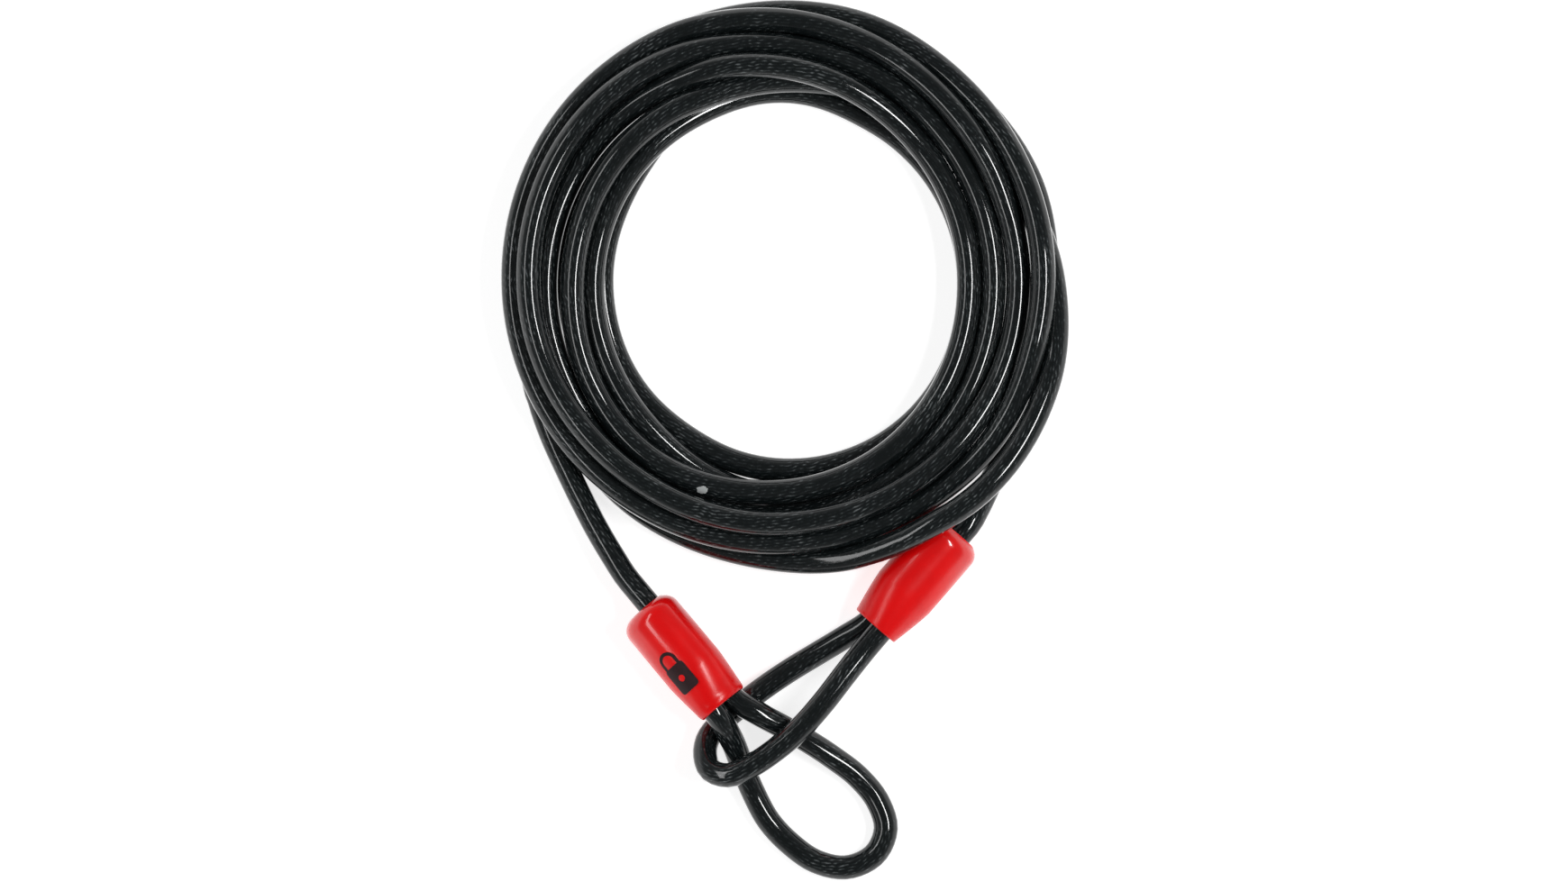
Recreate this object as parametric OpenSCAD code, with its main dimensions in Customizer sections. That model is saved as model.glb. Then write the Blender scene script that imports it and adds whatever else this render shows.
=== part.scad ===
// Double-loop locking cable: a sheathed steel rope, wound into a coil, with an eye at each end.
// Each eye is held by a pressed ferrule under a vinyl cover that can be pushed back along the cable.

/* [Cable] */
// Outside diameter of the sheathed cable
cable_d = 10; // [9:0.5:10]
// Diameter of the steel rope inside the sheath
rope_d = 5.6; // [5:0.1:5.8]
// Space between the rope and the sheath, on the radius
sheath_fit = 0.2; // [0.1:0.05:0.3]

/* [Ferrules] */
// Length of each pressed ferrule
ferrule_l = 28; // [22:1:29]
// Width of the ferrule across its two ropes
ferrule_w = 19; // [17:0.5:19.4]
// Thickness of the ferrule
ferrule_t = 15.5; // [13:0.5:16]

/* [Covers] */
// Length of each cover, from its mouth to its closed end
cover_l = 50; // [49:1:54]
// Width of the barrel across the two ropes
barrel_w = 24.4; // [24:0.2:25]
// Thickness of the barrel
barrel_t = 27.4; // [26:0.2:27.4]
// Width of the mouth across the two ropes
mouth_w = 23.2; // [23.2:0.2:24]
// Thickness of the mouth
mouth_t = 19; // [19:0.5:22]
// Wall of the barrel
barrel_wall = 1.8; // [1.2:0.1:1.8]
// Wall at the mouth
mouth_wall = 1.2; // [0.8:0.1:1.2]
// Thickness of the closed end
end_wall = 2.5; // [1.5:0.1:3]
// Radius of the shoulder round the closed end
shoulder_r = 6; // [3:0.5:7]
// Space round the cable in the closed end, on the radius
cover_fit = 0.3; // [0.3:0.05:0.5]
// How far the first cover slides back along its cable
travel_a = 12; // [0:1:12]
// How far the second cover slides back before the coil stops it
travel_b = 4; // [0:1:4]

/* [Coil] */
// Diameter of the open middle of the coil
coil_id = 140; // [120:1:142]
// Outside diameter of the coil
coil_od = 229; // [229:0.5:232]
// Height of the turns at the outside, where they lie three deep
coil_h = 29; // [28:0.5:32]
// Height of the turns at the inside, where they lie two deep
coil_inner_h = 21; // [18:0.5:24]

/* [Hidden] */

// Facets of the ferrules and strands
$fn = 64;
// Sides of every swept tube, and of the oval covers
tube_sides = 12;
oval_fn = 48;

cable_r = cable_d / 2;
rope_r = rope_d / 2;
sheath_bore_r = rope_r + sheath_fit;

// A strand's diameter: a core strand with six more laid round it makes the rope
strand_gap = 0.04;
strand_count = 6;
strand_d = rope_d / 3 - strand_gap;
strand_pitch_r = rope_d / 3;

// The two ropes in a ferrule, and the two sheathed legs that leave the mouth
bore_fit = 0.05;
bore_r = rope_r + bore_fit;
ferrule_web = 0.4;
rope_y = bore_r + ferrule_web / 2;
leg_gap = 0.1;
leg_y = cable_r + leg_gap / 2;

// Stations along an end's own axis: 0 at the mouth, cover_l at the closed end
eye_sheath_x = 6;
strand_near_x = 12;
ferrule_x = 14;
strand_far_x = cover_l - 6;
leg_straight_a = travel_a + 1;
leg_straight_b = travel_b + 1;

coil_centre = [0, 63, 0];
coil_bottom_r = cable_r;
coil_top_r = 8;
coil_arc_steps = 5;
notch_space = 0.6;

// An end: the middle of its mouth, its heading, its dip towards the closed end, and its roll
END_A = [[-24.4, -105.9, 18.6], 130, 4.6, 30];
END_B = [[36.7, -74.6, 13.2], 49, 0, -55];

// Routes of the cable's centre line, between the stretches that the two ends fix
EYE_A = [
    [-11, -109.5, 15.6], [-1, -115, 12.8], [10, -121.5, 9], [20, -128.2, 6.4], [30, -136, 5],
    [38, -146, 5], [41.2, -157, 5], [37, -167, 5], [26, -172.5, 5], [13, -170.2, 5],
    [2.5, -163, 5], [-6, -154, 5], [-12.5, -142, 6], [-17, -131, 9.2], [-21.2, -120, 14.8],
];
EYE_B = [
    [32.5, -84, 18], [24.5, -94, 19.5], [15.5, -105.5, 21], [6, -116, 22], [-4, -124.5, 22],
    [-14, -131, 21.6], [-23, -134.5, 20.4], [-29.5, -132.5, 17.4], [-31.8, -127, 13], [-31, -121, 9],
    [-26.5, -114.8, 5.8], [-19, -108.3, 5], [-9, -100.5, 5], [2, -93, 5], [14, -85.7, 5.5], [25, -79, 7],
];
LEG_A = [
    [-69.2, -46.3, 10.8], [-75.9, -35.1, 8.5], [-82.2, -23, 6.4], [-88, -11, 5.2],
    [-93.5, 1, 5], [-98.5, 15, 5], [-101.5, 28, 5],
];
LEG_B = [
    [78.4, -27, 13.3], [82.9, -17.8, 10], [89, -6, 6.8], [95.5, 6, 5], [101, 18, 5], [104.5, 32, 5],
];

sheath_colour = "#23282a";
rope_colour = "#a7abad";
ferrule_colour = "#c4c7c9";
cover_colour = "#d01417";

// ---- Placing ----

function rot_x(p, a) = [p.x, p.y * cos(a) - p.z * sin(a), p.y * sin(a) + p.z * cos(a)];
function rot_y(p, a) = [p.x * cos(a) + p.z * sin(a), p.y, p.z * cos(a) - p.x * sin(a)];
function rot_z(p, a) = [p.x * cos(a) - p.y * sin(a), p.x * sin(a) + p.y * cos(a), p.z];
function placed(end, p) = end[0] + rot_z(rot_y(rot_x(p, end[3]), end[2]), end[1]);
function heading(end) = placed(end, [1, 0, 0]) - end[0];

module at_end(end) {
    translate(end[0]) rotate([0, 0, end[1]]) rotate([0, end[2], 0]) rotate([end[3], 0, 0]) children();
}

// ---- Swept tubes ----

function unit(v) = v / norm(v);
function tangent(route, i, first, last) =
    i == 0 ? first :
    i == len(route) - 1 ? last :
    unit(unit(route[i + 1] - route[i]) + unit(route[i] - route[i - 1]));
function tangents(route, first, last) = [for (i = [0:len(route) - 1]) tangent(route, i, first, last)];
function squared(v, t) = unit(v - (v * t) * t);
// The sideways direction is carried from ring to ring, so that the tube doesn't twist
function sideways(t, i) = i == 0 ? squared([0, 0, 1], t[0]) : squared(sideways(t, i - 1), t[i]);
function ring(p, t, side, r) = [
    for (k = [0:tube_sides - 1])
        let (a = (k + 0.5) * 360 / tube_sides)
        p + r * (cos(a) * side + sin(a) * cross(t, side))
];
function tube_points(route, t, r) = [
    for (i = [0:len(route) - 1]) each ring(route[i], t[i], sideways(t, i), r)
];
// Two triangles for each side of each stretch; from is the first point, and out says which way they face
function wall_faces(rings, sides, from, out) = [
    for (i = [0:rings - 2], k = [0:sides - 1])
        let (
            a = from + i * sides + k,
            b = from + i * sides + (k + 1) % sides,
            c = b + sides,
            d = a + sides
        )
        each out ? [[a, d, c], [a, c, b]] : [[a, c, d], [a, b, c]]
];
function closed_faces(rings, sides) = concat(
    wall_faces(rings, sides, 0, true),
    [[for (k = [0:sides - 1]) k], [for (k = [sides - 1:-1:0]) (rings - 1) * sides + k]]
);
function rim_faces(outer, inner, flip) = [
    for (k = [0:tube_sides - 1])
        let (
            a = outer + k,
            b = outer + (k + 1) % tube_sides,
            c = inner + (k + 1) % tube_sides,
            d = inner + k
        )
        each flip ? [[a, b, c], [a, c, d]] : [[a, c, b], [a, d, c]]
];

module solid_tube(route, r, first, last) {
    points = tube_points(route, tangents(route, first, last), r);
    polyhedron(points = points, faces = closed_faces(len(route), tube_sides));
}

module hollow_tube(route, r_out, r_in, first, last) {
    n = len(route);
    t = tangents(route, first, last);
    inner = n * tube_sides;
    points = concat(tube_points(route, t, r_out), tube_points(route, t, r_in));
    faces = concat(
        wall_faces(n, tube_sides, 0, true),
        wall_faces(n, tube_sides, inner, false),
        rim_faces(0, inner, true),
        rim_faces((n - 1) * tube_sides, inner + (n - 1) * tube_sides, false)
    );
    polyhedron(points = points, faces = faces);
}

// An eye runs out of its mouth on the standing side, round, and back in on the tail's side
function eye_route(end, points) = concat(
    [placed(end, [eye_sheath_x, -leg_y, 0]), placed(end, [0, -leg_y, 0])],
    points,
    [placed(end, [0, leg_y, 0]), placed(end, [eye_sheath_x, leg_y, 0])]
);
function eye_rope_route(end, points) = concat(
    [placed(end, [strand_near_x, -rope_y, 0])],
    eye_route(end, points),
    [placed(end, [strand_near_x, rope_y, 0])]
);
// A leg runs straight back out of the closed end for as far as the cover slides, then to the coil
function leg_route(end, straight, points) = concat(
    [placed(end, [strand_far_x, -rope_y, 0]), placed(end, [cover_l + straight, -rope_y, 0])],
    points
);
function last_heading(route) = unit(route[len(route) - 1] - route[len(route) - 2]);

module eye_sheath(end, points) {
    color(sheath_colour)
        hollow_tube(eye_route(end, points), cable_r, sheath_bore_r, -heading(end), heading(end));
}
module eye_rope(end, points) {
    color(rope_colour)
        solid_tube(eye_rope_route(end, points), rope_r, -heading(end), heading(end));
}
module leg_sheath(end, straight, points) {
    route = leg_route(end, straight, points);
    color(sheath_colour)
        hollow_tube(route, cable_r, sheath_bore_r, heading(end), last_heading(route));
}
module leg_rope(end, straight, points) {
    route = leg_route(end, straight, points);
    color(rope_colour) solid_tube(route, rope_r, heading(end), last_heading(route));
}

// ---- Coil ----

function arc(centre, r, from, to) = [
    for (i = [0:coil_arc_steps])
        let (a = from + (to - from) * i / coil_arc_steps)
        centre + r * [cos(a), sin(a)]
];

// Outer shape of the wound turns, as a section from its inside to its outside
module coil_section() {
    inner = coil_id / 2;
    outer = coil_od / 2;
    polygon(concat(
        arc([inner + coil_bottom_r, coil_bottom_r], coil_bottom_r, 180, 270),
        arc([outer - coil_bottom_r, coil_bottom_r], coil_bottom_r, -90, 0),
        arc([outer - coil_top_r, coil_h - coil_top_r], coil_top_r, 0, 90),
        arc([inner + coil_top_r, coil_inner_h - coil_top_r], coil_top_r, 100, 180)
    ));
}

// The room that the second cover takes under and beside the outermost turn
module cover_notch() {
    length = cover_l + travel_b + notch_space;
    r = barrel_t / 2 + notch_space;
    translate(END_B[0]) rotate([0, 0, END_B[1]]) {
        rotate([0, 90, 0]) cylinder(r = r, h = length);
        translate([0, -r, 0]) cube([length, 2 * r, coil_h]);
    }
}

module coil() {
    color(sheath_colour) difference() {
        translate(coil_centre) rotate_extrude($fn = 180) coil_section();
        cover_notch();
    }
}

// ---- Ferrules and the bare rope in them ----

module lengthways(x, y, z) {
    translate([x, y, z]) rotate([0, 90, 0]) children();
}

module ferrule(end) {
    flat = ferrule_w - ferrule_t;
    color(ferrule_colour) at_end(end) difference() {
        union() {
            for (side = [-1, 1]) lengthways(ferrule_x, side * flat / 2, 0) cylinder(d = ferrule_t, h = ferrule_l);
            translate([ferrule_x, -flat / 2, -ferrule_t / 2]) cube([ferrule_l, flat, ferrule_t]);
        }
        for (side = [-1, 1]) lengthways(ferrule_x - 1, side * rope_y, 0) cylinder(r = bore_r, h = ferrule_l + 2);
    }
}

module core_strand(end, side) {
    color(rope_colour) at_end(end) lengthways(strand_near_x, side * rope_y, 0)
        cylinder(d = strand_d, h = strand_far_x - strand_near_x);
}

module outer_strands(end, side) {
    color(rope_colour) at_end(end) lengthways(strand_near_x, side * rope_y, 0)
        for (k = [0:strand_count - 1]) rotate([0, 0, k * 360 / strand_count])
            translate([strand_pitch_r, 0, 0]) cylinder(d = strand_d, h = strand_far_x - strand_near_x);
}

// ---- Covers ----

neck_l = 18;
lip_r = 0.6;
lip_inset = 1;
cavity_corner = 4;
shoulder_steps = 5;

// A closed body through oval sections, each [station, width, thickness]
module lofted(sections) {
    points = [
        for (s = sections, k = [0:oval_fn - 1])
            let (a = (k + 0.5) * 360 / oval_fn)
            [s[0], s[1] / 2 * cos(a), s[2] / 2 * sin(a)]
    ];
    polyhedron(points = points, faces = closed_faces(len(sections), oval_fn));
}

function shoulder(a) = [
    cover_l - shoulder_r * (1 - sin(a)),
    barrel_w - 2 * shoulder_r * (1 - cos(a)),
    barrel_t - 2 * shoulder_r * (1 - cos(a)),
];

module cover_outside() {
    lofted(concat(
        [
            [0, mouth_w - lip_inset, mouth_t - lip_inset],
            [lip_r, mouth_w, mouth_t],
            [neck_l, barrel_w, barrel_t],
        ],
        [for (i = [0:shoulder_steps]) shoulder(90 * i / shoulder_steps)]
    ));
}

module cover_inside() {
    w = barrel_w - 2 * barrel_wall;
    t = barrel_t - 2 * barrel_wall;
    lofted([
        [-1, mouth_w - 2 * mouth_wall, mouth_t - 2 * mouth_wall],
        [neck_l, w, t],
        [cover_l - end_wall - cavity_corner, w, t],
        [cover_l - end_wall, w - cavity_corner, t - cavity_corner],
    ]);
}

module cover(end) {
    color(cover_colour) at_end(end) difference() {
        cover_outside();
        cover_inside();
        lengthways(cover_l - 2 * end_wall, -rope_y, 0) cylinder(r = cable_r + cover_fit, h = 3 * end_wall);
    }
}

// ---- The named pieces ----

module leg_a_sheath() { leg_sheath(END_A, leg_straight_a, LEG_A); }
module leg_a_rope() { leg_rope(END_A, leg_straight_a, LEG_A); }
module leg_b_sheath() { leg_sheath(END_B, leg_straight_b, LEG_B); }
module leg_b_rope() { leg_rope(END_B, leg_straight_b, LEG_B); }
module eye_a_sheath() { eye_sheath(END_A, EYE_A); }
module eye_a_rope() { eye_rope(END_A, EYE_A); }
module eye_b_sheath() { eye_sheath(END_B, EYE_B); }
module eye_b_rope() { eye_rope(END_B, EYE_B); }
module ferrule_a() { ferrule(END_A); }
module ferrule_b() { ferrule(END_B); }
module standing_core_a() { core_strand(END_A, -1); }
module standing_strands_a() { outer_strands(END_A, -1); }
module tail_core_a() { core_strand(END_A, 1); }
module tail_strands_a() { outer_strands(END_A, 1); }
module standing_core_b() { core_strand(END_B, -1); }
module standing_strands_b() { outer_strands(END_B, -1); }
module tail_core_b() { core_strand(END_B, 1); }
module tail_strands_b() { outer_strands(END_B, 1); }
module cover_a() { cover(END_A); }
module cover_b() { cover(END_B); }

coil();
leg_a_sheath();
leg_a_rope();
leg_b_sheath();
leg_b_rope();
eye_a_sheath();
eye_a_rope();
eye_b_sheath();
eye_b_rope();
ferrule_a();
ferrule_b();
standing_core_a();
standing_strands_a();
tail_core_a();
tail_strands_a();
standing_core_b();
standing_strands_b();
tail_core_b();
tail_strands_b();
cover_a();
cover_b();
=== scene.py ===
"""Double-loop locking cable, coiled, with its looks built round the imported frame."""

import math

import bpy
import numpy as np
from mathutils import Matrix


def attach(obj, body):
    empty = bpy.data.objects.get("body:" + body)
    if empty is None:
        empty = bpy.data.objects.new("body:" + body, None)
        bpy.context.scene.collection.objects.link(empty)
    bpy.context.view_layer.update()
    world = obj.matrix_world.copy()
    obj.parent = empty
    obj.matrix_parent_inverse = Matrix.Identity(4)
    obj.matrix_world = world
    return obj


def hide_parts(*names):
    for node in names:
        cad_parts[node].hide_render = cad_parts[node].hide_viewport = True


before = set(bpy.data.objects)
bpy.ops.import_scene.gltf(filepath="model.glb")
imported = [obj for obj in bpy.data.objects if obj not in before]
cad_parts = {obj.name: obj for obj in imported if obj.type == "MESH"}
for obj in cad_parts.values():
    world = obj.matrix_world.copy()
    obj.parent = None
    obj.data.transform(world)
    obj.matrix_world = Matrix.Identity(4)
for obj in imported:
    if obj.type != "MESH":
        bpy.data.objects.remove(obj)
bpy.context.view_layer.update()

MM = 0.001

# Cable and rope: radii, and the length in which the rope's strands turn once
CABLE_R = 5 * MM
ROPE_R = 2.8 * MM
ROPE_LAY = 38 * MM

# How far from an end's axis its two bare ropes lie, and its two sheathed strands
ROPE_Y = 3.05 * MM
LEG_Y = 5.05 * MM

# Stations along an end's own axis, 0 at the mouth of its cover: where an eye's sheath is cut off, from
# where its bare ropes run straight, where they end beyond the ferrule, and where the cover ends
EYE_SHEATH_X = 6 * MM
TAIL_X = 12 * MM
STRAND_FAR_X = 44 * MM
COVER_L = 50 * MM

# How far each leg runs straight beyond its cover, which is a little more than the cover slides, and how
# far the second cover slides
LEG_STRAIGHT_A = 13 * MM
LEG_STRAIGHT_B = 5 * MM
TRAVEL_B = 4 * MM

# Spacing of the points along the long cable, an eye's sheath and a rope
MAIN_STEP = 3.6 * MM
EYE_STEP = 2.5 * MM
ROPE_STEP = 1.4 * MM

# An end: the middle of its mouth, its heading, its dip towards the closed end, and its roll
END_A = ((-0.0244, -0.1059, 0.0186), 130, 4.6, 30)
END_B = ((0.0367, -0.0746, 0.0132), 49, 0, -55)

# Routes of the centre line between the stretches that the two ends fix
EYE_A = [
    (-0.011, -0.1095, 0.0156), (-0.001, -0.115, 0.0128), (0.01, -0.1215, 0.009), (0.02, -0.1282, 0.0064),
    (0.03, -0.136, 0.005), (0.038, -0.146, 0.005), (0.0412, -0.157, 0.005), (0.037, -0.167, 0.005),
    (0.026, -0.1725, 0.005), (0.013, -0.1702, 0.005), (0.0025, -0.163, 0.005), (-0.006, -0.154, 0.005),
    (-0.0125, -0.142, 0.006), (-0.017, -0.131, 0.0092), (-0.0212, -0.12, 0.0148),
]
EYE_B = [
    (0.0325, -0.084, 0.018), (0.0245, -0.094, 0.0195), (0.0155, -0.1055, 0.021), (0.006, -0.116, 0.022),
    (-0.004, -0.1245, 0.022), (-0.014, -0.131, 0.0216), (-0.023, -0.1345, 0.0204),
    (-0.0295, -0.1325, 0.0174), (-0.0318, -0.127, 0.013), (-0.031, -0.121, 0.009),
    (-0.0265, -0.1148, 0.0058), (-0.019, -0.1083, 0.005), (-0.009, -0.1005, 0.005),
    (0.002, -0.093, 0.005), (0.014, -0.0857, 0.0055), (0.025, -0.079, 0.007),
]
LEG_A = [
    (-0.0692, -0.0463, 0.0108), (-0.0759, -0.0351, 0.0085), (-0.0822, -0.023, 0.0064),
    (-0.088, -0.011, 0.0052), (-0.0935, 0.001, 0.005), (-0.0985, 0.015, 0.005), (-0.1015, 0.028, 0.005),
]
LEG_B = [
    (0.0784, -0.027, 0.0133), (0.0829, -0.0178, 0.01), (0.089, -0.006, 0.0068), (0.0955, 0.006, 0.005),
    (0.101, 0.018, 0.005), (0.1045, 0.032, 0.005),
]

# The coil, turn by turn from the first leg: radius in millimetres and level (1 lies on the floor),
# every 45 degrees clockwise as seen from above, starting at the coil's left side. It joins the second
# leg at JOIN_B, and its curve has a point every COIL_POINT_ANGLE.
COIL_CENTRE = np.array([0.0, 0.063])
FIRST_ANGLE = 270
STEP_ANGLE = 45
JOIN_B = 106
COIL_POINT_ANGLE = 2.2
TURNS = [
    [(108.5, 1), (109.5, 1), (109.8, 1), (106.2, 2.1), (104.5, 3), (104.5, 2.5), (104.6, 2.4), (106.3, 2)],
    [(109, 2.1), (110.3, 2.1), (106.3, 2.1), (97.7, 2.7), (94.4, 2.1), (94.4, 2.6), (96.6, 3), (98.5, 2.9)],
    [(102.6, 3), (103.4, 2.9), (96, 2.1), (88, 2), (84.3, 2.1), (87.3, 2), (93.7, 2), (95.3, 1.9)],
    [(96.2, 2.1), (94.5, 2.1), (86.7, 3.1), (78.3, 2.1), (75.2, 2.1), (78.7, 2.1), (83.3, 2), (88, 1.7)],
    [(85.2, 2.5), (84.3, 2.9), (82.8, 2.1), (86.3, 1), (85, 1), (86.5, 1), (86, 1), (79.3, 1.9)],
    [(77.3, 2), (77.8, 2.1), (79.8, 1), (76.3, 1), (75, 1), (76, 1), (75.3, 1), (74.5, 1)],
    [(74, 1), (76.2, 1), (90, 1), (96.5, 1), (108.3, 2), (115.2, 3), (109.2, 1.6), (106.5, 1)],
    [(95, 1), (94.5, 1), (100, 1), (106.6, 1), (106, 1)],
]
LEVEL_H = 8.9 * MM

# The second cover as the coil's turns meet it: where its full thickness starts, where its end starts
# to round off, and half of its thickness with a little room
COVER_NEAR = 10 * MM
COVER_FAR = 43 * MM
COVER_REACH = 14.3 * MM

# How many of the long cable's points the rope in each leg follows
LEG_ROPE_POINTS = 30


def placed(end, p):
    """A point given along an end's own axes, moved to where the end lies."""
    x, y, z = p
    roll, dip, head = (math.radians(v) for v in (end[3], end[2], end[1]))
    y, z = y * math.cos(roll) - z * math.sin(roll), y * math.sin(roll) + z * math.cos(roll)
    x, z = x * math.cos(dip) + z * math.sin(dip), z * math.cos(dip) - x * math.sin(dip)
    x, y = x * math.cos(head) - y * math.sin(head), x * math.sin(head) + y * math.cos(head)
    return np.array([x, y, z]) + np.array(end[0])


# ---- Curves ----

def cubic(t, span, low, high, slope_low, slope_high):
    """A cubic between two values with a slope at each, for t from 0 to 1 over the span."""
    return (
        (2 * t**3 - 3 * t**2 + 1) * low + (t**3 - 2 * t**2 + t) * span * slope_low
        + (3 * t**2 - 2 * t**3) * high + (t**3 - t**2) * span * slope_high
    )


def along_path(path):
    """The distance along the path at each of its points."""
    return np.concatenate([[0], np.cumsum(np.linalg.norm(np.diff(path, axis=0), axis=1))])


def resampled(points, step):
    """A smooth curve through the points, with points of its own at even steps."""
    p = np.asarray(points, float)
    knots = along_path(p)
    slope = np.gradient(p, knots, axis=0)
    fine = np.linspace(0, knots[-1], max(40, int(knots[-1] / step) * 8))
    i = np.clip(np.searchsorted(knots, fine, side="right") - 1, 0, len(p) - 2)
    span = (knots[i + 1] - knots[i])[:, None]
    t = ((fine - knots[i])[:, None]) / span
    q = cubic(t, span, p[i], p[i + 1], slope[i], slope[i + 1])
    s = along_path(q)
    even = np.linspace(0, s[-1], int(round(s[-1] / step)) + 1)
    return np.stack([np.interp(even, s, q[:, k]) for k in range(3)], axis=1)


# ---- The coil's lay: the turns settle on each other as round, touching strands ----

# In each round of settling: how far a strand sinks at first, how strongly it is drawn back to its place
# in the plan view, and how strongly it straightens
SINK = 0.00003
DRAW_BACK = 0.02
STRAIGHTEN = 0.35
ROUNDS = 480

# Points nearer than this along the cable aren't held apart, and near pairs are looked up again now and then
NEIGHBOURS = 9
LOOK_UP_EVERY = 12


def coil_targets():
    """Points round the coil from the turns' table."""
    rows = [pair for turn in TURNS for pair in turn]
    at = FIRST_ANGLE + STEP_ANGLE * np.arange(len(rows))
    radius = np.array([r for r, level in rows]) * MM
    height = CABLE_R + (np.array([level for r, level in rows]) - 1) * LEVEL_H
    last = at[-1] + (JOIN_B - at[-1] % 360)
    # The table's curve starts a little before its first angle and stops just short of the second leg
    angle = np.arange(FIRST_ANGLE - 6, last - 4, COIL_POINT_ANGLE)
    knots = np.stack([radius, height], axis=1)
    slope = np.gradient(knots, at, axis=0)
    i = np.clip(np.searchsorted(at, angle, side="right") - 1, 0, len(at) - 2)
    t = ((angle - at[i]) / STEP_ANGLE)[:, None]
    t = np.clip(t, -0.2, 1)
    q = cubic(t, STEP_ANGLE, knots[i], knots[i + 1], slope[i], slope[i + 1])
    a = np.radians(angle)
    xy = COIL_CENTRE + q[:, :1] * np.stack([np.sin(a), np.cos(a)], axis=1)
    return np.column_stack([xy, q[:, 1]])


def softened(field, width):
    """A field of moves along the cable, blurred over about that many points."""
    reach = int(3 * width)
    kernel = np.exp(-0.5 * (np.arange(-reach, reach + 1) / width) ** 2)
    kernel /= kernel.sum()
    padded = np.pad(field, ((reach, reach), (0, 0)))
    return np.stack([np.convolve(padded[:, k], kernel, "valid") for k in range(3)], axis=1)


def settled(path, fixed):
    """Pushes strands that overlap apart, off the floor and off the second cover, and keeps them smooth.
    Points that are fixed stay where they are."""
    home = path.copy()
    shift = np.zeros_like(path)
    n = len(path)
    d = 2 * CABLE_R
    axis_a = placed(END_B, (COVER_NEAR, 0, 0))
    axis_b = placed(END_B, (COVER_FAR + TRAVEL_B, 0, 0))
    axis = axis_b - axis_a
    cover_r = COVER_REACH + CABLE_R
    index = np.arange(n)
    free = (~fixed).astype(float)[:, None]
    loose = softened(np.repeat(free, 3, axis=1), 4) * free
    loose = np.clip(2 * loose - 1, 0, 1)
    rounds = ROUNDS
    for step in range(rounds):
        p = home + shift
        if step % LOOK_UP_EVERY == 0:
            gap = np.linalg.norm(p[:, None] - p[None], axis=2)
            near = (gap < 1.6 * d) & (index[None] - index[:, None] > NEIGHBOURS)
            a, b = np.nonzero(near)
        t = np.gradient(p, axis=0)
        t /= np.linalg.norm(t, axis=1)[:, None]
        v = p[b] - p[a]
        along = (v * t[a]).sum(1)
        v = v - along[:, None] * t[a]
        dist = np.linalg.norm(v, axis=1) + 1e-9
        touching = (dist < d) & (np.abs(along) < 0.3 * d)
        push = np.where(touching, d - dist, 0)[:, None] * v / dist[:, None]
        move = np.zeros_like(p)
        count = np.zeros(n)
        np.add.at(move, a, -0.5 * push)
        np.add.at(move, b, 0.5 * push)
        np.add.at(count, a, touching)
        np.add.at(count, b, touching)
        move /= np.maximum(1, 0.7 * count)[:, None]
        # Off the second cover
        on_axis = np.clip(((p - axis_a) @ axis) / (axis @ axis), 0, 1)
        away = p - (axis_a + on_axis[:, None] * axis)
        far = np.linalg.norm(away, axis=1)
        move += np.where(far < cover_r, cover_r - far, 0)[:, None] * away / far[:, None]
        # Weight, the plan it was laid to, and the cable's own stiffness
        stage = step / rounds
        move[:, 2] -= SINK * (1 - stage)
        move[:, :2] -= DRAW_BACK * shift[:, :2]
        shift += move * loose
        width = 7 if stage < 0.5 else 4.5 if stage < 0.85 else 2.5
        shift += STRAIGHTEN * (softened(shift, width) - shift) * loose
        shift[:, 2] = np.maximum(shift[:, 2], CABLE_R - home[:, 2]) * loose[:, 2]
    return home + shift


def straight_stretch(end, beyond):
    """Points straight out of an end: from inside its cover to where the leg may start to bend."""
    far = COVER_L + beyond
    return [placed(end, (x, -ROPE_Y, 0)) for x in (STRAND_FAR_X, COVER_L, far - 2 * MM, far)]


def main_path():
    """The long cable: out of the first cover, round the coil and into the second."""
    leg_a = straight_stretch(END_A, LEG_STRAIGHT_A) + [np.array(q) for q in LEG_A]
    leg_b = [np.array(q) for q in reversed(LEG_B)] + straight_stretch(END_B, LEG_STRAIGHT_B)[::-1]
    route = resampled(np.array(leg_a + list(coil_targets()) + leg_b), MAIN_STEP)
    from_a = np.linalg.norm(route - leg_a[-2], axis=1).argmin()
    from_b = len(route) - 1 - np.linalg.norm(route[::-1] - leg_b[1], axis=1).argmin()
    index = np.arange(len(route))
    fixed = (index <= from_a) | (index >= from_b)
    return settled(route, fixed)


# ---- Meshes ----

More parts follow.
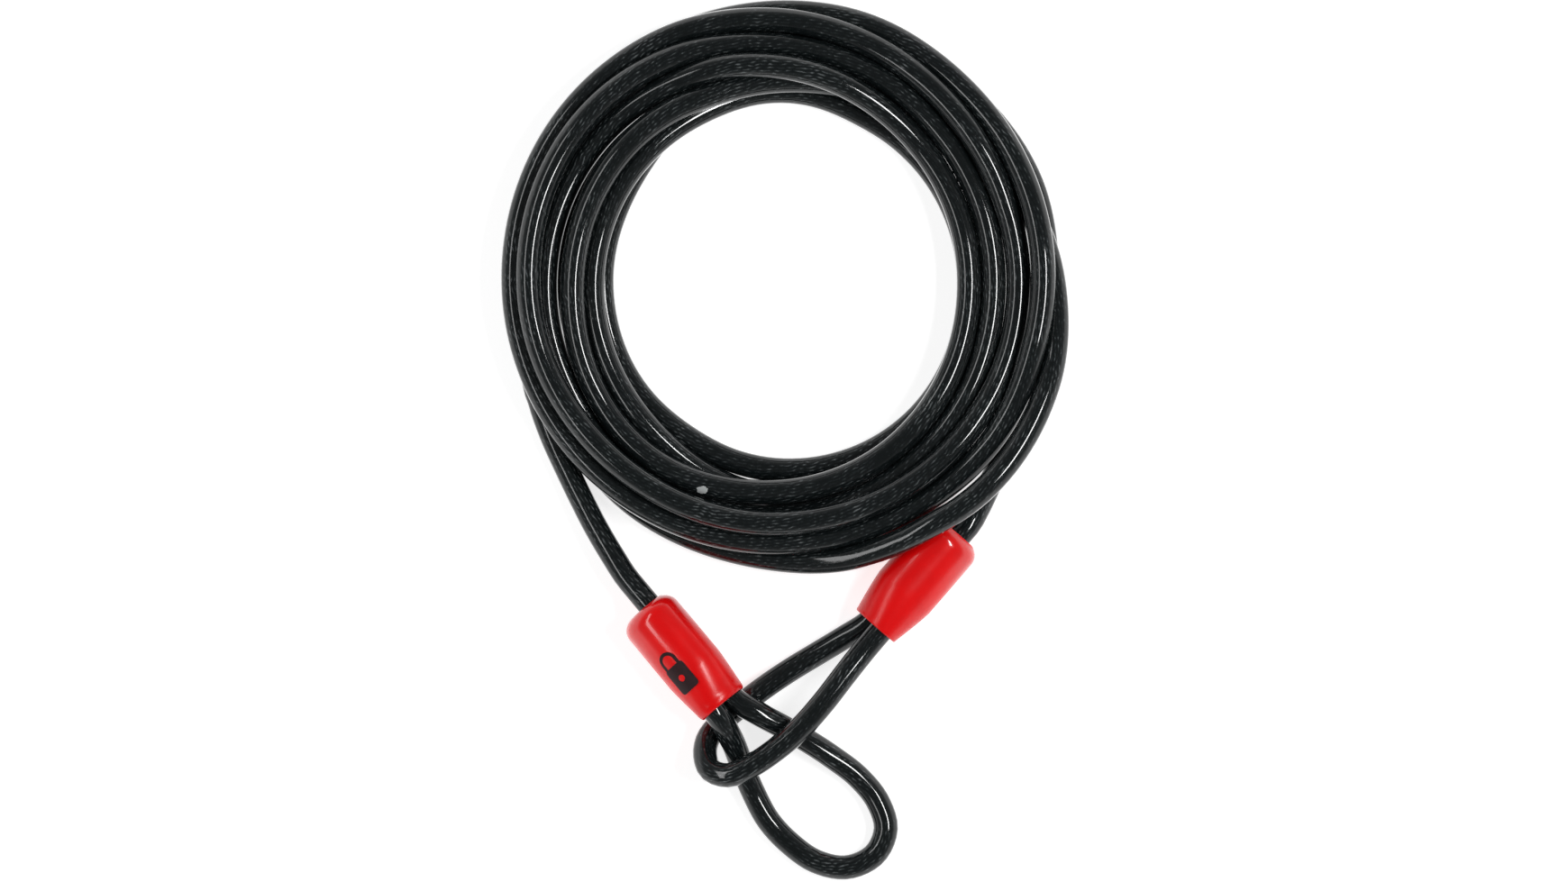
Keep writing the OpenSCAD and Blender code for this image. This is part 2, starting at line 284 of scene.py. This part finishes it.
def rings_to_mesh(name, rings, ends="closed", round_length=1.0, along=None):
    """A skin over rings of points. Its ends are closed, open, or joined to each other as in a hollow body.
    The UV map runs round (u) and along (v), both in metres."""
    rings = np.asarray(rings)
    n, sides = rings.shape[:2]
    rows = n if ends == "joined" else n - 1
    i = np.arange(rows)[:, None] * sides
    j = (np.arange(rows)[:, None] + 1) % n * sides
    k = np.arange(sides)[None]
    k2 = (k + 1) % sides
    faces = np.stack([i + k, i + k2, j + k2, j + k], axis=2).reshape(-1, 4).tolist()
    if ends == "closed":
        faces.append(list(range(sides - 1, -1, -1)))
        faces.append([(n - 1) * sides + m for m in range(sides)])
    mesh = bpy.data.meshes.new(name)
    mesh.from_pydata(rings.reshape(-1, 3).tolist(), [], faces)
    v = np.arange(n) * MM if along is None else np.asarray(along)
    v = np.append(v, v[-1] + MM)
    u0, v0 = np.meshgrid(np.arange(sides) / sides, v[:rows])
    u1, v1 = np.meshgrid(np.arange(1, sides + 1) / sides, v[1:rows + 1])
    corners = np.stack([np.stack(c, 2) for c in ((u0, v0), (u1, v0), (u1, v1), (u0, v1))], 2)
    uv = np.zeros((len(mesh.loops), 2))
    uv[: rows * sides * 4] = corners.reshape(-1, 2) * [round_length, 1]
    mesh.uv_layers.new(name="UVMap").data.foreach_set("uv", uv.ravel())
    mesh.shade_smooth()
    piece = bpy.data.objects.new(name, mesh)
    bpy.context.scene.collection.objects.link(piece)
    return piece


def carried_frames(path):
    """Tangent and two side directions at each point, carried along so that nothing twists."""
    t = np.gradient(path, axis=0)
    t /= np.linalg.norm(t, axis=1)[:, None]
    side = np.zeros_like(t)
    start = np.array([0, 0, 1.0])
    side[0] = start - (start @ t[0]) * t[0]
    side[0] /= np.linalg.norm(side[0])
    for i in range(1, len(t)):
        v = side[i - 1] - (side[i - 1] @ t[i]) * t[i]
        side[i] = v / np.linalg.norm(v)
    return t, side, np.cross(t, side)


def cable(name, path, radius, sides=20):
    """A round sheath. Its ends turn in to the rope's bore, so that the cut edge has a thickness."""
    t, side, other = carried_frames(path)
    a = np.arange(sides) * 2 * math.pi / sides
    round_ = np.cos(a)[None, :, None] * side[:, None] + np.sin(a)[None, :, None] * other[:, None]
    rings = path[:, None] + radius * round_
    s = along_path(path)
    edge = 0.5 * MM
    bore = ROPE_R + 0.2 * MM
    bore_depth = 6 * MM
    first = [path[0] + bore_depth * t[0] + bore * round_[0], path[0] + bore * round_[0],
             path[0] + (radius - edge) * round_[0]]
    last = [path[-1] + (radius - edge) * round_[-1], path[-1] + bore * round_[-1],
            path[-1] - bore_depth * t[-1] + bore * round_[-1]]
    rings[0] = path[0] + edge * t[0] + radius * round_[0]
    rings[-1] = path[-1] - edge * t[-1] + radius * round_[-1]
    rings = np.concatenate([first, rings, last])
    beyond = np.array([1, 2, 3]) * MM
    v = np.concatenate([s[0] - beyond[::-1], s, s[-1] + beyond])
    return rings_to_mesh(name, rings, "open", 2 * math.pi * radius, v)


def rope(name, path, radius, lay, sides=36):
    """A seven-strand rope: a lobed section that turns as it goes along."""
    _, side, other = carried_frames(path)
    s = along_path(path)
    strand = radius / 3
    a = np.arange(sides) * 2 * math.pi / sides
    lobe = (a + math.pi / 6) % (math.pi / 3) - math.pi / 6
    off_strand = 2 * strand * np.sin(lobe)
    section = 2 * strand * np.cos(lobe) + np.sqrt(np.maximum(strand**2 - off_strand**2, 0))
    turn = a[None] + 2 * math.pi * s[:, None] / lay
    rings = path[:, None] + section[None, :, None] * (
        np.cos(turn)[:, :, None] * side[:, None] + np.sin(turn)[:, :, None] * other[:, None]
    )
    return rings_to_mesh(name, rings, "closed", 2 * math.pi * radius, s)


# ---- Materials ----

# Where the sheath is chipped, seen from above, how large the chip is, and how narrow it is for its length
CHIP = (-0.0328, -0.0197)
CHIP_R = 2.3 * MM
CHIP_NARROW = 0.65

# The rows of wire under the sheath: how far apart they are, how long a dash and its gap are, how much the
# rows slant, and how far they stray
ROW_PITCH = 0.00131
DASH_PITCH = 0.0048
ROW_SLANT = 0.12
ROW_STRAY = 0.0022


def new_material(name):
    m = bpy.data.materials.new(name)
    m.use_nodes = True
    nodes = m.node_tree.nodes
    return m, nodes, m.node_tree.links, nodes["Principled BSDF"]


def noise(nodes, links, coords, scale, detail=3.0, rough=0.55):
    n = nodes.new("ShaderNodeTexNoise")
    n.inputs["Scale"].default_value = scale
    n.inputs["Detail"].default_value = detail
    n.inputs["Roughness"].default_value = rough
    links.new(coords, n.inputs["Vector"])
    return n.outputs["Fac"]


def ramp(nodes, links, fac, stops):
    r = nodes.new("ShaderNodeValToRGB")
    e = r.color_ramp.elements
    while len(e) < len(stops):
        e.new(0.5)
    for el, (at, colour) in zip(e, stops):
        el.position = at
        el.color = (*colour, 1)
    links.new(fac, r.inputs["Fac"])
    return r.outputs["Color"]


def math_node(nodes, links, op, a, b=None, c=None):
    m = nodes.new("ShaderNodeMath")
    m.operation = op
    for k, v in enumerate((a, b, c)):
        if v is None:
            continue
        if isinstance(v, (int, float)):
            m.inputs[k].default_value = v
        else:
            links.new(v, m.inputs[k])
    return m.outputs[0]


def map_range(nodes, links, value, start, end, low=0.0, high=1.0, interpolation="LINEAR"):
    """The value's way from start to end, as a way from low to high."""
    r = nodes.new("ShaderNodeMapRange")
    r.interpolation_type = interpolation
    for socket, v in (("From Min", start), ("From Max", end), ("To Min", low), ("To Max", high)):
        r.inputs[socket].default_value = v
    links.new(value, r.inputs["Value"])
    return r.outputs["Result"]


def bump(nodes, links, shader, height, strength, distance):
    b = nodes.new("ShaderNodeBump")
    b.inputs["Strength"].default_value = strength
    b.inputs["Distance"].default_value = distance
    links.new(height, b.inputs["Height"])
    links.new(b.outputs["Normal"], shader.inputs["Normal"])


def object_place(nodes):
    return nodes.new("ShaderNodeTexCoord").outputs["Object"]


def uv_axes(nodes, links):
    """The UV map's two ways, in metres: round the piece and along it."""
    uv = nodes.new("ShaderNodeUVMap")
    uv.uv_map = "UVMap"
    sep = nodes.new("ShaderNodeSeparateXYZ")
    links.new(uv.outputs["UV"], sep.inputs[0])
    return sep.outputs["X"], sep.outputs["Y"]


def triangle_wave(nodes, links, value):
    """0 at each whole number and 1 half way between them."""
    part = math_node(nodes, links, "FRACT", value)
    off = math_node(nodes, links, "ABSOLUTE", math_node(nodes, links, "SUBTRACT", part, 0.5))
    return math_node(nodes, links, "MULTIPLY_ADD", off, -2, 1)


def wire_dashes(nodes, links, place):
    """How strongly the wires show at each place: broken rows of short dashes along the cable."""
    u, v = uv_axes(nodes, links)
    slanted = math_node(nodes, links, "MULTIPLY_ADD", v, ROW_SLANT, u)
    wander = noise(nodes, links, place, 160, 2)
    slanted = math_node(nodes, links, "MULTIPLY_ADD", wander, ROW_STRAY, slanted)
    row = math_node(nodes, links, "MULTIPLY", slanted, 1 / ROW_PITCH)
    row_on = math_node(nodes, links, "POWER", triangle_wave(nodes, links, row), 1.6)
    shift = math_node(nodes, links, "MULTIPLY", math_node(nodes, links, "FLOOR", row), 0.39)
    dash = math_node(nodes, links, "MULTIPLY_ADD", v, 1 / DASH_PITCH, shift)
    dash = math_node(nodes, links, "MULTIPLY_ADD", noise(nodes, links, place, 110, 3), 2.6, dash)
    dash_on = math_node(nodes, links, "POWER", triangle_wave(nodes, links, dash), 0.9)
    on = math_node(nodes, links, "MULTIPLY", row_on, dash_on)
    # The rows fade in and out in patches
    broken = math_node(nodes, links, "MULTIPLY", noise(nodes, links, place, 420, 2), 0.5)
    patches = math_node(nodes, links, "MULTIPLY_ADD", noise(nodes, links, place, 60, 3), 0.55, broken)
    return math_node(nodes, links, "MULTIPLY", on, map_range(nodes, links, patches, 0.4, 0.66))


def chipped(nodes, links, place):
    """1 inside the one chip in the skin, on a turn near the front of the coil, and 0 elsewhere."""
    flat = nodes.new("ShaderNodeVectorMath")
    flat.operation = "MULTIPLY"
    flat.inputs[1].default_value = (CHIP_NARROW, 1, 0)
    links.new(place, flat.inputs[0])
    apart = nodes.new("ShaderNodeVectorMath")
    apart.operation = "DISTANCE"
    apart.inputs[1].default_value = (CHIP_NARROW * CHIP[0], CHIP[1], 0)
    links.new(flat.outputs["Vector"], apart.inputs[0])
    grain = noise(nodes, links, place, 900, 3)
    ragged = math_node(nodes, links, "MULTIPLY_ADD", grain, 0.0016, apart.outputs["Value"])
    return math_node(nodes, links, "LESS_THAN", ragged, CHIP_R)


def sheath_material():
    """Smoky black sheath: the rope's laid wires show through it."""
    m, nodes, links, shader = new_material("sheath")
    place = object_place(nodes)
    colour = ramp(nodes, links, wire_dashes(nodes, links, place), [
        (0.0, (0.0055, 0.0076, 0.008)),
        (0.25, (0.0155, 0.0195, 0.0205)),
        (1.0, (0.17, 0.186, 0.19)),
    ])
    mix = nodes.new("ShaderNodeMix")
    mix.data_type = "RGBA"
    links.new(chipped(nodes, links, place), mix.inputs["Factor"])
    links.new(colour, mix.inputs["A"])
    mix.inputs["B"].default_value = (0.5, 0.52, 0.52, 1)
    links.new(mix.outputs["Result"], shader.inputs["Base Color"])
    shader.inputs["Roughness"].default_value = 0.08
    shader.inputs["IOR"].default_value = 1.5
    # The skin's gloss rises sharply where it turns away, which draws a thin pale line along each strand
    facing = nodes.new("ShaderNodeLayerWeight").outputs["Facing"]
    links.new(map_range(nodes, links, facing, 0.62, 0.8), shader.inputs["Coat Weight"])
    shader.inputs["Coat IOR"].default_value = 2.7
    shader.inputs["Coat Roughness"].default_value = 0.06
    ripple = noise(nodes, links, place, 240, 2)
    bump(nodes, links, shader, ripple, 0.06, 0.0002)
    return m


def vinyl_material():
    """Red dipped vinyl, which comes out of the dip with more gloss at its closed end than at its mouth."""
    m, nodes, links, shader = new_material("red_vinyl")
    place = object_place(nodes)
    colour = ramp(nodes, links, noise(nodes, links, place, 70, 4), [
        (0.25, (0.76, 0.0008, 0.0018)),
        (0.75, (0.9, 0.0024, 0.003)),
    ])
    links.new(colour, shader.inputs["Base Color"])
    shader.inputs["IOR"].default_value = 1.42
    along = uv_axes(nodes, links)[1]
    for socket, mouth, closed_end in (("Coat Weight", 0.0, 0.6), ("Roughness", 0.27, 0.2)):
        gloss = map_range(nodes, links, along, 24 * MM, 46 * MM, mouth, closed_end, "SMOOTHSTEP")
        links.new(gloss, shader.inputs[socket])
    shader.inputs["Coat Roughness"].default_value = 0.08
    shader.inputs["Sheen Weight"].default_value = 0.12
    shader.inputs["Sheen Roughness"].default_value = 0.12
    shader.inputs["Sheen Tint"].default_value = (1.0, 0.62, 0.72, 1)
    shader.inputs["Subsurface Weight"].default_value = 0.08
    shader.inputs["Subsurface Radius"].default_value = (0.004, 0.001, 0.0008)
    shader.inputs["Subsurface Scale"].default_value = 0.5
    bump(nodes, links, shader, noise(nodes, links, place, 420, 3), 0.1, 0.0003)
    return m


def metal_material(name, dark, light, roughness, scale):
    m, nodes, links, shader = new_material(name)
    grain = noise(nodes, links, object_place(nodes), scale, 5, 0.65)
    links.new(ramp(nodes, links, grain, [(0.3, dark), (0.7, light)]), shader.inputs["Base Color"])
    shader.inputs["Metallic"].default_value = 1.0
    spread = map_range(nodes, links, grain, 0.0, 1.0, roughness - 0.08, roughness + 0.12)
    links.new(spread, shader.inputs["Roughness"])
    bump(nodes, links, shader, grain, 0.3, 0.0002)
    return m


def print_material():
    m, nodes, links, shader = new_material("dark_print")
    worn = noise(nodes, links, object_place(nodes), 500, 3)
    colour = ramp(nodes, links, worn, [(0.2, (0.03, 0.004, 0.006)), (0.7, (0.014, 0.003, 0.005))])
    links.new(colour, shader.inputs["Base Color"])
    shader.inputs["Roughness"].default_value = 0.5
    shader.inputs["Specular IOR Level"].default_value = 0.25
    bump(nodes, links, shader, worn, 0.15, 0.0001)
    return m


def floor_material():
    m, _, _, shader = new_material("floor")
    shader.inputs["Base Color"].default_value = (0.6, 0.6, 0.6, 1)
    shader.inputs["Roughness"].default_value = 0.9
    shader.inputs["Specular IOR Level"].default_value = 0.0
    shader.inputs["Emission Color"].default_value = (1, 1, 1, 1)
    shader.inputs["Emission Strength"].default_value = 0.76
    return m


def dress(piece, material):
    piece.data.materials.clear()
    piece.data.materials.append(material)


# ---- Camera ----

def make_camera():
    """A long lens straight above, with +Y up the picture."""
    frame_w = 632.7 * MM
    subject_z = 12 * MM
    cam = bpy.data.cameras.new("camera")
    cam.sensor_width = 36
    cam.lens = 135
    cam.clip_end = 20
    rig = bpy.data.objects.new("camera", cam)
    rig.location = (0, 0, subject_z + frame_w * cam.lens / cam.sensor_width)
    bpy.context.scene.collection.objects.link(rig)
    bpy.context.scene.camera = rig


make_camera()

sheath = sheath_material()
vinyl = vinyl_material()
steel = metal_material("steel", (0.42, 0.43, 0.44), (0.66, 0.67, 0.68), 0.3, 900)
alloy = metal_material("aluminium", (0.6, 0.61, 0.62), (0.8, 0.81, 0.82), 0.32, 500)

# ---- Cords ----

main = main_path()
cable_main = cable("cable_main", main, CABLE_R)
dress(cable_main, sheath)
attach(cable_main, "cable")
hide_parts("coil", "leg_a_sheath", "leg_b_sheath")


def eye(name, end, points):
    """One eye's sheath, and its steel rope, which runs on through the ferrule on both sides."""
    near = [placed(end, (EYE_SHEATH_X, -LEG_Y, 0)), placed(end, (0, -LEG_Y, 0))]
    far = [placed(end, (0, LEG_Y, 0)), placed(end, (EYE_SHEATH_X, LEG_Y, 0))]
    route = resampled(np.array(near + list(points) + far), EYE_STEP)
    piece = cable(f"eye_{name}", route, CABLE_R, 28)
    dress(piece, sheath)
    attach(piece, "cable")
    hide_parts(f"eye_{name}_sheath")
    start = [placed(end, (STRAND_FAR_X, -ROPE_Y, 0)), placed(end, (TAIL_X, -ROPE_Y, 0))]
    finish = [placed(end, (TAIL_X, ROPE_Y, 0)), placed(end, (STRAND_FAR_X, ROPE_Y, 0))]
    core = resampled(np.array(start + list(route) + finish), ROPE_STEP)
    strands = rope(f"rope_{name}", core, ROPE_R, ROPE_LAY)
    dress(strands, steel)
    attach(strands, "cable")
    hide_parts(f"eye_{name}_rope", f"standing_core_{name}", f"standing_strands_{name}",
                f"tail_core_{name}", f"tail_strands_{name}")


eye("a", END_A, EYE_A)
eye("b", END_B, EYE_B)


def leg_rope(name, stretch):
    """The steel rope inside a leg, along that stretch of the long cable."""
    path = resampled(stretch, ROPE_STEP)
    strands = rope(f"leg_rope_{name}", path, ROPE_R, ROPE_LAY)
    dress(strands, steel)
    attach(strands, "cable")
    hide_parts(f"leg_{name}_rope")


leg_rope("a", main[:LEG_ROPE_POINTS])
leg_rope("b", main[-LEG_ROPE_POINTS:])

# ---- Covers ----

# In millimetres: width and thickness of the mouth and the barrel, and the length over which one grows into
# the other
MOUTH = (23.2, 19.0)
BARREL = (24.4, 27.4)
NECK_L = 18
COVER_END = COVER_L / MM
SHOULDER_R = 6
COVER_SIDES = 96

# The length over which each mouth rounds in, and how far it does
LIP_A = (3.6, 1.2)
LIP_B = (1.2, 0.6)

# The cable's hole through the closed end
HOLE_D = 2 * (CABLE_R / MM + 0.3)
HOLE_Y = -ROPE_Y / MM
HOLE_RIM = 1.0
# How far past the axis the closed end reaches, so that it goes round the hole
HOLE_REACH = (HOLE_D + HOLE_RIM) / 2 - HOLE_Y + 0.1

# The inside, from the closed end to the mouth: station, width and thickness
INSIDE = [
    (47.5, 16.8, 19.8), (45.8, 20, 23), (43.5, 20.8, 23.8), (18, 20.8, 23.8), (9, 20.8, 20.4),
    (0.6, 20.6, 16.4), (0, 20.7, 16.5),
]


def oval_ring(end, station, width, thickness, y=0.0):
    """A ring round an end's axis, in millimetres. y moves its middle towards one of the two ropes."""
    x = station * MM
    return np.array([
        placed(end, (x, (y + width / 2 * math.cos(a)) * MM, thickness / 2 * math.sin(a) * MM))
        for a in np.arange(COVER_SIDES) * 2 * math.pi / COVER_SIDES
    ])


def cover_width(station, lip_l):
    """Width and thickness of a cover's outside between its lip and its shoulder, in millimetres."""
    t = min(1.0, (station - lip_l) / (NECK_L - lip_l))
    ease = 0.62 * t + 0.38 * math.sin(t * math.pi / 2)
    return tuple(m + ease * (b - m) for m, b in zip(MOUTH, BARREL))


def cover_outline(lip):
    """The outside from the mouth to the closed end, in millimetres: station, width and thickness, and how
    far the middle is off the axis where the closed end goes round the hole."""
    lip_l, lip_r = lip
    outline = []
    for i in range(7):
        a = math.pi / 2 * i / 6
        inset = 2 * lip_r * (1 - math.sin(a))
        outline.append((lip_l * (1 - math.cos(a)), MOUTH[0] - inset, MOUTH[1] - inset))
    shoulder_x = COVER_END - SHOULDER_R
    for station in np.linspace(lip_l, NECK_L, 19)[1:]:
        outline.append((station, *cover_width(station, lip_l)))
    for station in np.linspace(NECK_L, shoulder_x, 8)[1:-1]:
        outline.append((station, *BARREL))
    for i in range(13):
        a = math.pi / 2 * i / 12
        inset = SHOULDER_R * (1 - math.cos(a))
        plain_side = BARREL[0] / 2 - inset
        hole_side = max(plain_side, HOLE_REACH)
        station = shoulder_x + SHOULDER_R * math.sin(a)
        middle = (plain_side - hole_side) / 2
        outline.append((station, plain_side + hole_side, BARREL[1] - 2 * inset, middle))
    return outline


def cover(name, end, lip):
    """A dip-moulded vinyl cover: outside, closed end with its hole for the cable, inside, and lip."""
    outline = cover_outline(lip)
    rings = [oval_ring(end, *section) for section in outline]
    for depth, grow in ((0, HOLE_RIM), (0.15, 0.4 * HOLE_RIM), (0.5, 0), (2.5, 0)):
        rings.append(oval_ring(end, COVER_END - depth, HOLE_D + grow, HOLE_D + grow, HOLE_Y))
    rings += [oval_ring(end, *section) for section in INSIDE]
    along = [section[0] * MM for section in outline] + [COVER_L] * (len(rings) - len(outline))
    piece = rings_to_mesh(f"cover_{name}_skin", rings, "joined", 80 * MM, along)
    dress(piece, vinyl)
    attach(piece, f"cover_{name}_body")
    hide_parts(f"cover_{name}")
    return piece


cover("a", END_A, LIP_A)
cover("b", END_B, LIP_B)

# ---- The print on the first cover: a plain padlock sign ----

# Its station, its turn round the cover in degrees, its scale, how far its middle is from its keyhole, and
# about how far the barrel's skin is from its axis
PRINT_X = 21
PRINT_TURN = 30
PRINT_SCALE = 1.2
SIGN_MIDDLE = 2.4
BARREL_R = 12.9


def on_cover(end, x, y):
    """A point of a flat sign, x along the cover and y round it in millimetres, laid on the barrel."""
    turn = math.radians(PRINT_TURN) + PRINT_SCALE * y / BARREL_R
    lift = 0.06
    width, thickness = BARREL
    return placed(end, ((PRINT_X + PRINT_SCALE * (x - SIGN_MIDDLE)) * MM,
                        (width / 2 + lift) * math.cos(turn) * MM,
                        (thickness / 2 + lift) * math.sin(turn) * MM))


def strip_faces(rows, columns, closed, start):
    """The faces between rows of points, which go all the way round where they are closed."""
    faces = []
    for i in range(rows - 1):
        for k in range(columns if closed else columns - 1):
            k2 = (k + 1) % columns
            faces.append([start + i * columns + k, start + i * columns + k2,
                          start + (i + 1) * columns + k2, start + (i + 1) * columns + k])
    return faces


def padlock_sign():
    """The sign's body with a round keyhole, and its shackle."""
    points = []
    around, steps = 72, 6
    half_l, half_w, keyhole = 5, 4.2, 1.2
    squareness = 9
    for i in range(steps + 1):
        for k in range(around):
            a = 2 * math.pi * k / around
            edge = (abs(math.cos(a) / half_l) ** squareness
                    + abs(math.sin(a) / half_w) ** squareness) ** (-1 / squareness)
            r = edge + (keyhole - edge) * i / steps
            points.append((r * math.cos(a), r * math.sin(a)))
    faces = strip_faces(steps + 1, around, True, 0)
    start = len(points)
    bow, width, foot = 2.8, 1.2, 5.2
    line = [(foot - 0.6, -bow, 0, -1), (foot + 1.2, -bow, 0, -1)]
    line += [(foot + 1.8 + bow * math.sin(a), -bow * math.cos(a), math.sin(a), -math.cos(a))
             for a in np.linspace(0, math.pi, 25)]
    line += [(foot + 1.2, bow, 0, 1), (foot - 0.6, bow, 0, 1)]
    across = 4
    for x, y, out_x, out_y in line:
        for k in range(across):
            w = width * (k / (across - 1) - 0.5)
            points.append((x + w * out_x, y + w * out_y))
    faces += strip_faces(len(line), across, False, start)
    return points, faces


def cover_print():
    points, faces = padlock_sign()
    mesh = bpy.data.meshes.new("cover_a_print")
    mesh.from_pydata([tuple(on_cover(END_A, x, y)) for x, y in points], [], faces)
    piece = bpy.data.objects.new("cover_a_print", mesh)
    bpy.context.scene.collection.objects.link(piece)
    dress(piece, print_material())
    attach(piece, "cover_a_body")


cover_print()

for node in ("ferrule_a", "ferrule_b"):
    dress(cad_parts[node], alloy)

# ---- Light and floor ----

def area_light(name, direction, distance, size_x, size_y, radiance, y=0.0):
    """A softbox that faces the object, tilted from straight above by its direction in degrees."""
    lamp = bpy.data.lights.new(name, "AREA")
    lamp.shape = "RECTANGLE"
    lamp.size = size_x
    lamp.size_y = size_y
    lamp.energy = radiance * math.pi * size_x * size_y
    o = bpy.data.objects.new(name, lamp)
    tilt = math.radians(direction)
    o.location = (distance * math.sin(tilt), y, distance * math.cos(tilt))
    o.rotation_euler = (0, tilt, 0)
    bpy.context.scene.collection.objects.link(o)


area_light("softbox_right", 29, 1.6, 0.18, 0.64, 32, 0.04)
area_light("softbox_left", -36, 1.6, 0.26, 1.7, 5)


def make_world():
    world = bpy.data.worlds.new("studio")
    world.use_nodes = True
    bpy.context.scene.world = world
    nodes, links = world.node_tree.nodes, world.node_tree.links
    back = nodes["Background"]
    tc = nodes.new("ShaderNodeTexCoord")
    sep = nodes.new("ShaderNodeSeparateXYZ")
    links.new(tc.outputs["Generated"], sep.inputs[0])
    # Pale round the horizon and dark overhead
    greys = ((0.0, 1.5), (0.14, 1.0), (0.32, 0.32), (0.8, 0.11))
    colour = ramp(nodes, links, sep.outputs["Z"], [(at, (grey, grey, grey)) for at, grey in greys])
    links.new(colour, back.inputs["Color"])
    back.inputs["Strength"].default_value = 1.0


make_world()


def make_floor():
    mesh = bpy.data.meshes.new("floor")
    h = 4.0  # half its width, in metres
    mesh.from_pydata([(-h, -h, 0), (h, -h, 0), (h, h, 0), (-h, h, 0)], [], [(0, 1, 2, 3)])
    o = bpy.data.objects.new("floor", mesh)
    bpy.context.scene.collection.objects.link(o)
    dress(o, floor_material())


make_floor()
bpy.context.scene.view_settings.view_transform = "Standard"
